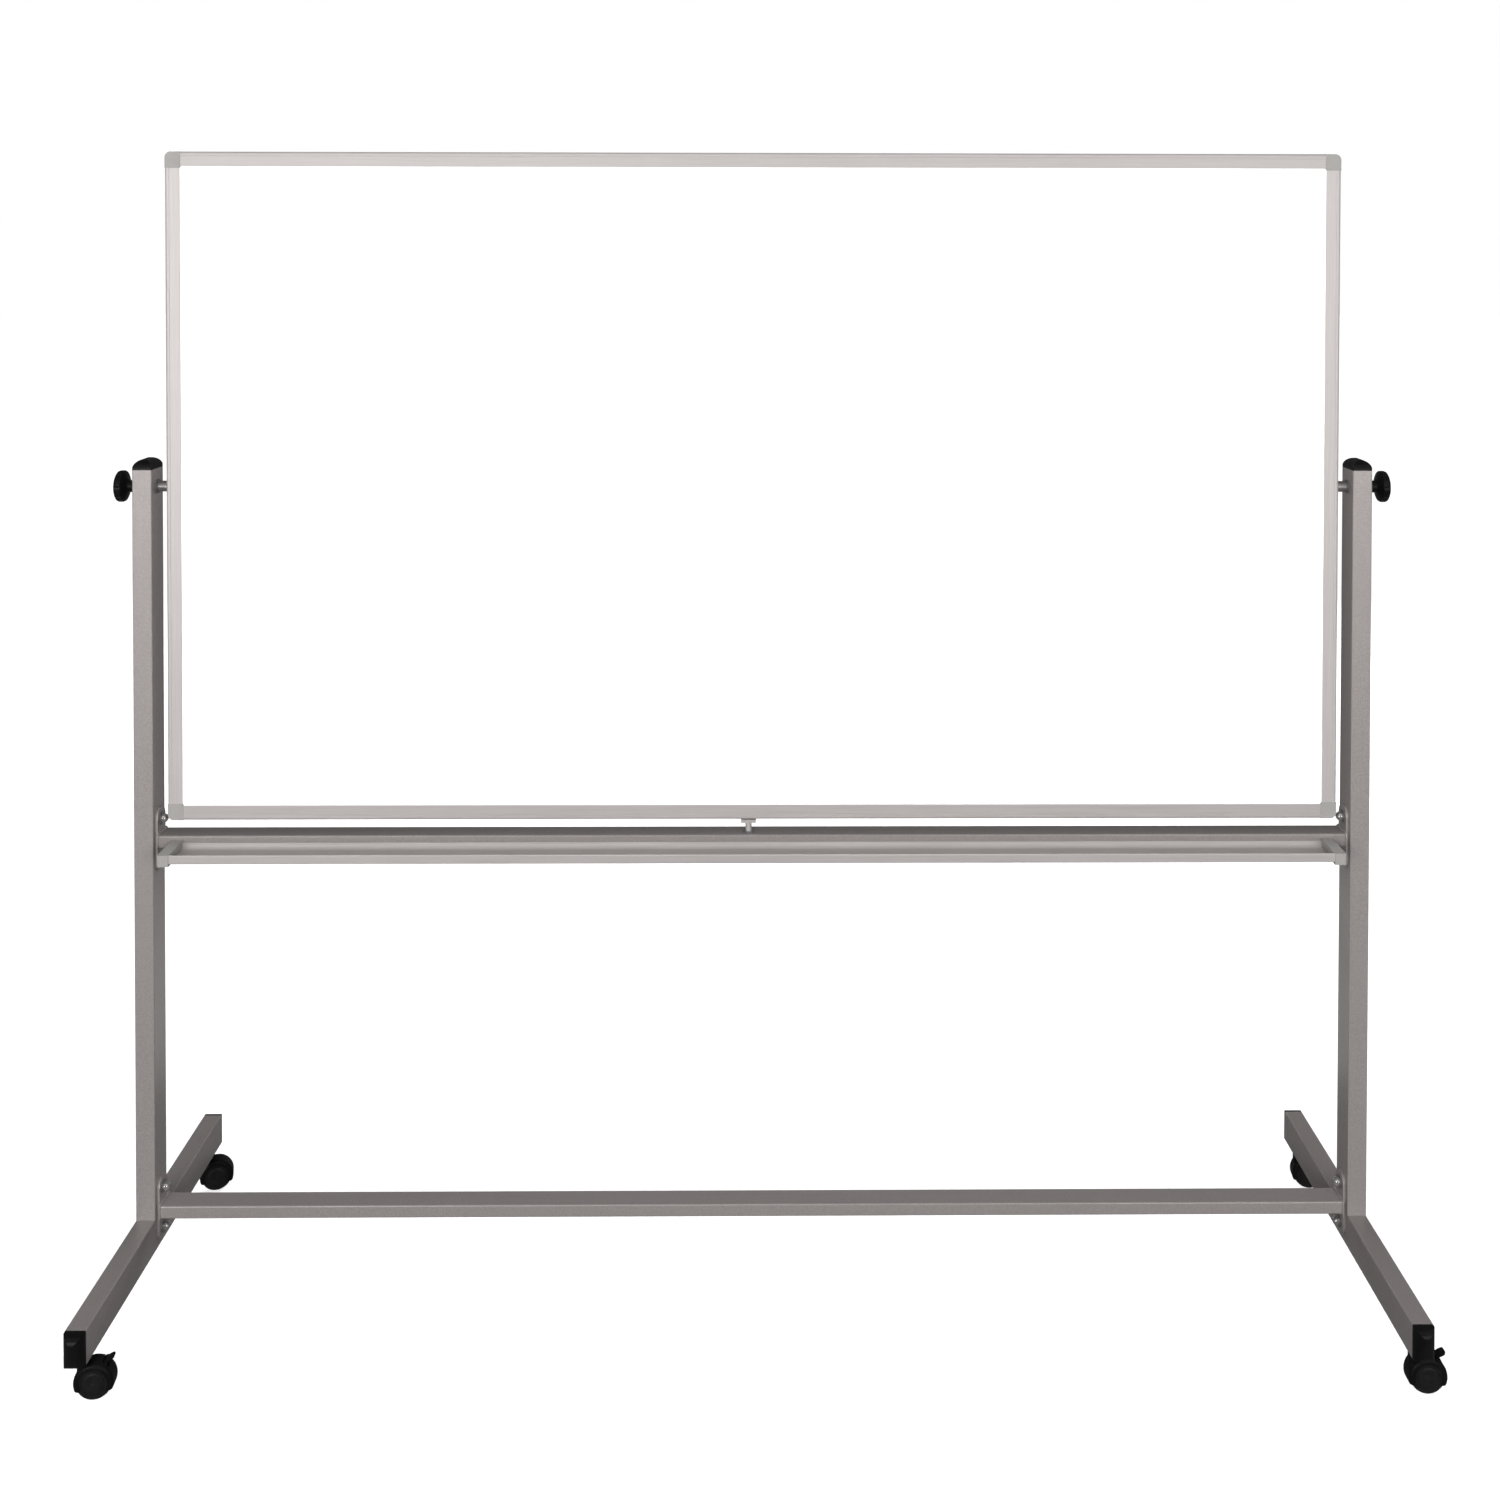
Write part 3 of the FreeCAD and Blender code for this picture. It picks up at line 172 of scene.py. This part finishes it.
def silver_paint(name, tone=1.0):
    """Satin silver powder coat on steel tube: metal flake, orange peel, and scuffs low on the stand."""
    g = Graph(name)
    # A tone below 1 darkens the whole paint; the upper crossbar's copy at 0.84 is painted shade.
    colour = tuple(tone * c for c in (0.325, 0.299, 0.293))
    flake = g.noise(620, detail=4)
    cloud = g.noise(7, detail=4)
    base = g.mixed(g.spread(flake, 0.35, 0.65), shade(colour, 0.90), shade(colour, 1.10))
    base = g.mixed(g.spread(cloud, 0.3, 0.7, 0.0, 0.35), base, shade(colour, 0.90))
    scuff = g.maths("MULTIPLY", g.spread(g.noise(60, 6, (1, 0.12, 1), 0.6), 0.60, 0.74),
                    g.spread(g.axis("Z"), 0.06, 0.16, 1.0, 0.0))
    base = g.mixed(g.maths("MULTIPLY", scuff, 0.35), base, shade(colour, 0.75))
    g.feed(g.shader.inputs["Base Color"], base)
    rough = g.maths("ADD", g.spread(cloud, 0.3, 0.7, 0.34, 0.41), g.maths("MULTIPLY", scuff, 0.15))
    g.feed(g.shader.inputs["Roughness"], rough)
    peel = g.bump(g.noise(520, 2), 0.025 * MM)
    g.feed(g.shader.inputs["Normal"], g.bump(flake, 0.006 * MM, peel))
    g.constant(Metallic=0.40, Specular_IOR_Level=0.35)
    return g.material


def anodised(name, stretch, tone=1.0):
    """Satin anodised aluminium extrusion with fine die lines along its length."""
    g = Graph(name)
    # A tone above 1 lightens the whole metal; the upright rails' copy at 1.10 is painted light.
    colour = tuple(tone * c for c in (0.492, 0.464, 0.456))
    lines = g.noise(900, 4, stretch)
    cloud = g.noise(5, 4)
    base = g.mixed(g.spread(lines, 0.3, 0.7), shade(colour, 0.93), shade(colour, 1.07))
    base = g.mixed(g.spread(cloud, 0.35, 0.7, 0.0, 0.3), base, shade(colour, 0.93))
    g.feed(g.shader.inputs["Base Color"], base)
    g.feed(g.shader.inputs["Roughness"], g.spread(lines, 0.3, 0.7, 0.44, 0.56))
    g.feed(g.shader.inputs["Normal"], g.bump(lines, 0.010 * MM))
    g.constant(Metallic=0.49, Specular_IOR_Level=0.35)
    return g.material


def moulded(name, colour, roughness, grain_depth, variation=0.12, specular=0.5):
    """Injection-moulded plastic: a fine spark-eroded grain, faint flow clouds and handling marks."""
    g = Graph(name)
    cloud = g.noise(40, 4, distortion=0.4)
    marks = g.spread(g.noise(220, 6, (1, 1, 0.25), 0.8), 0.62, 0.75)
    mottle = g.spread(cloud, 0.3, 0.7)
    base = g.mixed(mottle, shade(colour, 1 - variation), shade(colour, 1 + variation))
    base = g.mixed(g.maths("MULTIPLY", marks, 0.25), base, shade(colour, 1 + 3 * variation))
    g.feed(g.shader.inputs["Base Color"], base)
    rough = g.spread(cloud, 0.3, 0.7, roughness - 0.04, roughness + 0.05)
    g.feed(g.shader.inputs["Roughness"], g.maths("ADD", rough, g.maths("MULTIPLY", marks, 0.08)))
    g.feed(g.shader.inputs["Normal"], g.bump(g.noise(2600, 2), grain_depth))
    g.constant(Metallic=0.0, Specular_IOR_Level=specular)
    return g.material


def plated(name, colour, roughness, tool_lines, metallic=1.0):
    """Bare or plated steel with fine turning or drawing lines and a little staining."""
    g = Graph(name)
    stain = g.noise(160, 5, distortion=0.5)
    lines = g.noise(3500, 2, (tool_lines, 1, 1))
    base = g.mixed(g.spread(stain, 0.35, 0.75), shade(colour, 1.0), shade(colour, 0.82))
    g.feed(g.shader.inputs["Base Color"], base)
    g.feed(g.shader.inputs["Roughness"], g.spread(stain, 0.3, 0.7, roughness, roughness + 0.10))
    g.feed(g.shader.inputs["Normal"], g.bump(lines, 0.004 * MM))
    g.constant(Metallic=metallic)
    return g.material


def writing_surface():
    """Gloss white dry-erase coating: faint wiped arcs in the gloss and in the white."""
    g = Graph("writing_surface")
    wipes = g.noise(3.2, 5, (1, 1, 2.4), 1.6)
    ripple = g.noise(90, 3)
    base = g.mixed(g.spread(wipes, 0.45, 0.75), (0.93, 0.93, 0.935, 1), (0.905, 0.908, 0.915, 1))
    g.feed(g.shader.inputs["Base Color"], base)
    g.feed(g.shader.inputs["Roughness"], g.spread(wipes, 0.35, 0.75, 0.16, 0.26))
    g.feed(g.shader.inputs["Normal"], g.bump(ripple, 0.012 * MM))
    g.constant(Metallic=0.0, Specular_IOR_Level=0.45)
    return g.material


def particle_board():
    """The board's core, seen only where the frame is taken off: pressed wood chips."""
    g = Graph("particle_board")
    chips = g.noise(320, 4, (1, 2.2, 1), 0.5)
    base = g.mixed(g.spread(chips, 0.3, 0.7), (0.42, 0.30, 0.18, 1), (0.68, 0.54, 0.37, 1))
    g.feed(g.shader.inputs["Base Color"], base)
    g.feed(g.shader.inputs["Normal"], g.bump(chips, 0.2 * MM))
    g.constant(Roughness=0.85, Metallic=0.0)
    return g.material


WHEEL_RADIUS = 25 * MM
TREAD_BEGINS = WHEEL_RADIUS - 0.8 * MM
TREAD_ENDS = WHEEL_RADIUS + 0.2 * MM


def wheel_nylon(node):
    """Black nylon wheel: a smooth side disc, and a tread dulled and greyed by the floor."""
    low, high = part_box(node)
    centre = (low + high) / 2
    g = Graph("nylon_" + node)
    tread = g.spread(g.distance_from(centre), TREAD_BEGINS, TREAD_ENDS)
    dirt = g.noise(700, 5, distortion=0.4)
    cloud = g.spread(g.noise(120, 4), 0.3, 0.7)
    base = g.mixed(cloud, (0.004, 0.004, 0.004, 1), (0.007, 0.007, 0.007, 1))
    dusty = g.mixed(g.spread(dirt, 0.35, 0.7), (0.010, 0.010, 0.009, 1), (0.030, 0.028, 0.026, 1))
    g.feed(g.shader.inputs["Base Color"], g.mixed(tread, base, dusty))
    g.feed(g.shader.inputs["Roughness"], g.maths("ADD", 0.38, g.maths("MULTIPLY", tread, 0.3)))
    g.feed(g.shader.inputs["Normal"], g.bump(dirt, 0.03 * MM))
    g.constant(Metallic=0.0, Specular_IOR_Level=0.45)
    return g.material


ALONG_X = (0.01, 1, 1)
ALONG_Z = (1, 1, 0.01)

FINISHES = {
    "frame_silver": silver_paint("silver_paint"),
    "aluminium": anodised("anodised_along_x", ALONG_X),
    "grey_plastic": moulded("grey_plastic", (0.29, 0.280, 0.270), 0.60, 0.02 * MM, 0.04, 0.2),
    "black_gloss_plastic": moulded("black_gloss", (0.004, 0.004, 0.004), 0.34, 0.006 * MM, 0.25, 0.18),
    "caster_black": moulded("black_nylon", (0.003, 0.003, 0.0033), 0.45, 0.012 * MM, 0.25, 0.2),
    "bright_steel": plated("bright_plate", (0.80, 0.79, 0.78), 0.20, 0.3, 0.93),
    "plain_steel": plated("turned_steel", (0.72, 0.70, 0.68), 0.32, 1, 0.7),
    "dark_plastic": moulded("dark_acetal", (0.10, 0.10, 0.105), 0.40, 0.015 * MM),
    "writing_enamel": writing_surface(),
    "core_board": particle_board(),
}
UPRIGHT_RAILS = {"left_rail", "right_rail"}
DULL_ZINC_AND_PAINTED_SHADE_NODES = {"crossbar_washers", "pivot_spacers"}
# The upright rails are the same extrusion 10% lighter: painted light, for the brighter light on the
# upright rails.
painted_light_upright_aluminium = anodised("anodised_along_z_painted_light", ALONG_Z, 1.10)
# The upper crossbar's paint is the same silver 16% darker: painted shade for the shade under the board
# and tray.
painted_shade_silver = silver_paint("silver_paint_crossbar_painted_shade", 0.84)
# A duller, darker copy of the bright plating: the pivot spacers' own duller finish, and on the washers
# partly painted shade, for the dark ring round each bolt head.
dull_zinc_and_painted_shade = plated("dull_zinc_and_painted_shade", (0.38, 0.37, 0.36), 0.34, 0.3, 0.9)


def finish_of(node):
    """The node's slot gives its finish, apart from the few nodes named above and the wheels."""
    slot = SLOT_OF_NODE[node]
    if slot == "wheel_black":
        return wheel_nylon(node)
    # Painted light: the upright rails take the lighter copy of the aluminium.
    if node in UPRIGHT_RAILS:
        return painted_light_upright_aluminium
    # Painted shade: the upper crossbar takes the darker copy of the silver paint.
    if node == "upper_crossbar":
        return painted_shade_silver
    # The washers' darker finish is partly painted shade.
    if node in DULL_ZINC_AND_PAINTED_SHADE_NODES:
        return dull_zinc_and_painted_shade
    return FINISHES[slot]


for node_name, node_object in frame["nodes"].items():
    node_object.data.materials.clear()
    node_object.data.materials.append(finish_of(node_name))


# ---------------------------------------------------------------- swept pieces, not in the CAD


def sweep_faces(rings, closed):
    """Faces between neighbouring rings of a sweep, which either closes on itself or gets two ends."""
    around, count = len(rings[0]), len(rings)
    faces = []
    for i in range(count if closed else count - 1):
        for k in range(around):
            here, after = i * around, (i + 1) % count * around
            onward = (k + 1) % around
            faces.append((here + k, here + onward, after + onward, after + k))
    if not closed:
        faces += [tuple(range(around)), tuple(range((count - 1) * around, count * around))]
    return faces


def make_piece(name, rings, closed, slot, body):
    """A swept solid with its faces outward, smooth, in the slot's finish, riding on the body."""
    mesh = bpy.data.meshes.new(name)
    mesh.from_pydata([point for ring in rings for point in ring], [], sweep_faces(rings, closed))
    work = bmesh.new()
    work.from_mesh(mesh)
    bmesh.ops.recalc_face_normals(work, faces=work.faces)
    work.to_mesh(mesh)
    work.free()
    mesh.polygons.foreach_set("use_smooth", [True] * len(mesh.polygons))
    mesh.materials.append(FINISHES[slot])
    piece = bpy.data.objects.new(name, mesh)
    bpy.context.scene.collection.objects.link(piece)
    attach(piece, body)
    return piece


# ---------------------------------------------------------------- latch spring

SPRING_TURNS = 5
STEPS_IN_A_TURN = 32
SPRING_WIRE = 0.5 * MM
SIDES_OF_THE_WIRE = 8


def make_latch_spring():
    """The latch's spring, as a coil of round wire that takes the place of the hidden CAD spring."""
    low, high = (Vector(corner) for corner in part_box("latch_spring"))
    foot = Vector(((low.x + high.x) / 2, (low.y + high.y) / 2, low.z))
    coil = (high.x - low.x) / 2 - SPRING_WIRE
    climb = high.z - low.z - 2 * SPRING_WIRE
    count = SPRING_TURNS * STEPS_IN_A_TURN
    rings = []
    for step in range(count + 1):
        angle = 2 * math.pi * step / STEPS_IN_A_TURN
        out = Vector((math.cos(angle), math.sin(angle), 0))
        middle = foot + coil * out + (SPRING_WIRE + climb * step / count) * UP
        turns = (2 * math.pi * k / SIDES_OF_THE_WIRE for k in range(SIDES_OF_THE_WIRE))
        rings.append([middle + SPRING_WIRE * (math.cos(a) * out + math.sin(a) * UP) for a in turns])
    spring = make_piece("latch_spring_coil", rings, False, "plain_steel", "stand")
    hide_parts("latch_spring")
    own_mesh(spring)


make_latch_spring()


# ---------------------------------------------------------------- weld beads

TUBE_CORNER = 2.5 * MM
CORNER_STEPS = 5
WELD_STEP = 0.7 * MM
WELD_LEG = 2.6 * MM
WELD_RIPPLE = 0.35 * MM
WELD_PITCH = 2.4 * MM
WELD_ROOT = 0.2 * MM
WELD_BOW = 0.8  # how far each ripple bows along the bead, in radians of the ripple
WELD_MEAN = 0.6  # mean height of a ripple, as a share of its whole height
WELD_WAVER = 0.15 * MM
WELD_WAVER_LENGTH = 9 * MM
WELD_FACE_STEPS = 6


def tube_outline(low, high, radius, step):
    """Points round a tube that lies along X, about a step apart, each with its outward direction."""
    centres = [(high.y - radius, high.z - radius), (low.y + radius, high.z - radius),
               (low.y + radius, low.z + radius), (high.y - radius, low.z + radius)]
    corners = []
    for quarter, (y, z) in enumerate(centres):
        for i in range(CORNER_STEPS + 1):
            angle = (quarter + i / CORNER_STEPS) * math.pi / 2
            out = Vector((0, math.cos(angle), math.sin(angle)))
            corners.append((Vector((0, y, z)) + radius * out, out))
    stations = []
    for index, (here, out) in enumerate(corners):
        there, next_out = corners[(index + 1) % len(corners)]
        parts = max(1, round((there - here).length / step))
        for k in range(parts):
            stations.append((here.lerp(there, k / parts), out.lerp(next_out, k / parts)))
    return stations


def weld_section(end, side, point, out, travel):
    """The bead's outline at one station: its root in the joint, then its rippled face."""
    section = [Vector((end + side * WELD_ROOT, 0, 0)) + point - WELD_ROOT * out]
    for step in range(WELD_FACE_STEPS + 1):
        angle = step / WELD_FACE_STEPS * math.pi / 2
        ripple = abs(math.sin(math.pi * travel / WELD_PITCH + WELD_BOW * math.sin(2 * angle)))
        waver = WELD_WAVER * math.sin(travel / WELD_WAVER_LENGTH)
        leg = WELD_LEG + WELD_RIPPLE * (ripple - WELD_MEAN) + waver
        along, away = leg * math.cos(angle), leg * math.sin(angle)
        section.append(Vector((end - side * along, 0, 0)) + point + away * out)
    return section


def make_weld(name, bar, side):
    """The bead round one end of a crossbar, where it meets its end plate, under the same paint."""
    low, high = (Vector(corner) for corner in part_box(bar))
    end = high.x if side > 0 else low.x
    stations = tube_outline(low, high, TUBE_CORNER, WELD_STEP)
    rings, travel = [], 0.0
    for index, (point, out) in enumerate(stations):
        travel += (point - stations[index - 1][0]).length if index else 0.0
        rings.append(weld_section(end, side, point, out, travel))
    make_piece(name, rings, True, "frame_silver", "stand")


for bar_name in ("upper_crossbar", "lower_crossbar"):
    make_weld(bar_name + "_left_weld", bar_name, -1)
    make_weld(bar_name + "_right_weld", bar_name, 1)


# ---------------------------------------------------------------- floor, backdrop and light

FLOOR_RADIUS = 40.0
FLOOR_SEGMENTS = 96
FLOOR_GLOW_NEAR = 0.62
FLOOR_GLOW_FAR = 1.0
FLOOR_FADE_START = 1.5
FLOOR_FADE_END = 9.0
DOME_RINGS = 24
DOME_SEGMENTS = 48
ROOM_COLOUR = (1.0, 0.97, 0.955, 1)


def light_only_for_camera(piece):
    """The camera sees the piece, and it neither lights nor shades the object."""
    piece.visible_diffuse = False
    piece.visible_glossy = False
    piece.visible_transmission = False
    piece.visible_shadow = False


def make_floor():
    """A pale matt floor that glows a little, more with distance, so that it runs into the backdrop."""
    rim = []
    for step in range(FLOOR_SEGMENTS):
        turn = step * (2 * math.pi / FLOOR_SEGMENTS)
        rim.append((FLOOR_RADIUS * math.cos(turn), FLOOR_RADIUS * math.sin(turn), 0.0))
    mesh = bpy.data.meshes.new("studio_floor")
    mesh.from_pydata(rim, [], [tuple(range(FLOOR_SEGMENTS))])
    floor = bpy.data.objects.new("studio_floor", mesh)
    bpy.context.scene.collection.objects.link(floor)
    g = Graph("pale_floor")
    fade = g.spread(g.distance_from((0, 0, 0)), FLOOR_FADE_START, FLOOR_FADE_END)
    g.feed(g.shader.inputs["Base Color"],
           g.mixed(g.spread(g.noise(9, 3), 0.3, 0.7), (0.80, 0.80, 0.80, 1), (0.82, 0.82, 0.82, 1)))
    g.constant(Roughness=0.9, Specular_IOR_Level=0.0, Emission_Color=(1, 1, 1, 1))
    rise = g.maths("MULTIPLY", fade, FLOOR_GLOW_FAR - FLOOR_GLOW_NEAR)
    g.feed(g.shader.inputs["Emission Strength"], g.maths("ADD", FLOOR_GLOW_NEAR, rise))
    mesh.materials.append(g.material)
    light_only_for_camera(floor)


def make_backdrop():
    """A white dome behind everything."""
    mesh = bpy.data.meshes.new("backdrop")
    points = []
    faces = []
    for ring in range(DOME_RINGS + 1):
        polar = math.pi * ring / DOME_RINGS
        radius, height = FLOOR_RADIUS * math.sin(polar), FLOOR_RADIUS * math.cos(polar)
        for step in range(DOME_SEGMENTS):
            turn = 2 * math.pi * step / DOME_SEGMENTS
            points.append((radius * math.cos(turn), radius * math.sin(turn), height))
    for ring in range(DOME_RINGS):
        for step in range(DOME_SEGMENTS):
            a = ring * DOME_SEGMENTS + step
            b = ring * DOME_SEGMENTS + (step + 1) % DOME_SEGMENTS
            faces.append((a, b, b + DOME_SEGMENTS, a + DOME_SEGMENTS))
    mesh.from_pydata(points, [], faces)
    dome = bpy.data.objects.new("backdrop", mesh)
    bpy.context.scene.collection.objects.link(dome)
    g = Graph("backdrop_white")
    g.constant(Base_Color=(0, 0, 0, 1), Roughness=1.0, Specular_IOR_Level=0.0,
               Emission_Color=(1, 1, 1, 1), Emission_Strength=1.0)
    mesh.materials.append(g.material)
    light_only_for_camera(dome)


def soft_box(name, location, target, width, height, watts, in_gloss):
    """A panel that is either seen in reflections or lights the matt shading, and never both."""
    lamp = bpy.data.lights.new(name, "AREA")
    lamp.shape = "RECTANGLE"
    lamp.size = width
    lamp.size_y = height
    lamp.energy = watts
    holder = bpy.data.objects.new(name, lamp)
    holder.location = location
    holder.visible_glossy = in_gloss
    holder.visible_diffuse = not in_gloss
    holder.rotation_euler = (Vector(target) - Vector(location)).to_track_quat("-Z", "Y").to_euler()
    bpy.context.scene.collection.objects.link(holder)


def make_room(ambient):
    """An even light from all round, slightly warm, at the given strength."""
    world = bpy.data.worlds.new("room")
    world.use_nodes = True
    background = world.node_tree.nodes["Background"]
    background.inputs["Color"].default_value = ROOM_COLOUR
    background.inputs["Strength"].default_value = ambient
    bpy.context.scene.world = world


SOFT_BOXES = [
    # name, place, aim, width, height, watts, whether it is for reflections
    ("key", (-1.6, -4.7, 1.8), (0, 0, 1.0), 2.8, 1.6, 210, False),
    ("fill", (1.8, -4.6, 1.7), (0, 0, 0.8), 2.4, 1.4, 150, False),
    ("overhead", (0, -1.2, 4.4), (0, -0.2, 0), 4.0, 2.4, 38, False),
    ("rear", (0.4, 5.0, 1.6), (0, 0, 0.9), 4.0, 1.8, 240, False),
    ("left_sheen", (-2.6, -4.8, 1.3), (0, 0, 1.0), 2.2, 1.8, 50, True),
    ("right_sheen", (2.6, -4.8, 1.3), (0, 0, 1.0), 2.2, 1.8, 34, True),
    ("floor_sheen", (0, 1.1, 0.02), (0, 1.1, 2.0), 3.4, 1.0, 5, True),
    ("cap_sheen", (0, -2.4, 3.2), (0, -0.3, 0.3), 5.0, 0.8, 14, True),
]
AMBIENT = 0.12

make_floor()
make_backdrop()
make_room(AMBIENT)
for box in SOFT_BOXES:
    soft_box(*box)


# ---------------------------------------------------------------- camera

CAMERA_PLACE = (0.0181, -2.5630, 1.6319)
CAMERA_TURN = -0.0100
CAMERA_DIP = 0.0185
CAMERA_ROLL = 0.0018
LENS_MM = 39.325
SENSOR_MM = 36.0
CLIP_END = 200
FRAMING_SHIFT_ACROSS = -0.0219
FRAMING_SHIFT_DOWN = -0.3146


def make_camera():
    """At standing height and nearly level, with the lens shifted down, so that posts stay upright."""
    camera = bpy.data.cameras.new("camera")
    camera.sensor_width = SENSOR_MM
    camera.lens = LENS_MM
    camera.shift_x = FRAMING_SHIFT_ACROSS
    camera.shift_y = FRAMING_SHIFT_DOWN
    camera.clip_end = CLIP_END
    holder = bpy.data.objects.new("camera", camera)
    holder.matrix_world = (
        Matrix.Translation(CAMERA_PLACE)
        @ Matrix.Rotation(CAMERA_TURN, 4, "Z")
        @ Matrix.Rotation(math.pi / 2 - CAMERA_DIP, 4, "X")
        @ Matrix.Rotation(CAMERA_ROLL, 4, "Z")
    )
    bpy.context.scene.collection.objects.link(holder)
    bpy.context.scene.camera = holder


make_camera()
bpy.context.scene.view_settings.view_transform = "Standard"
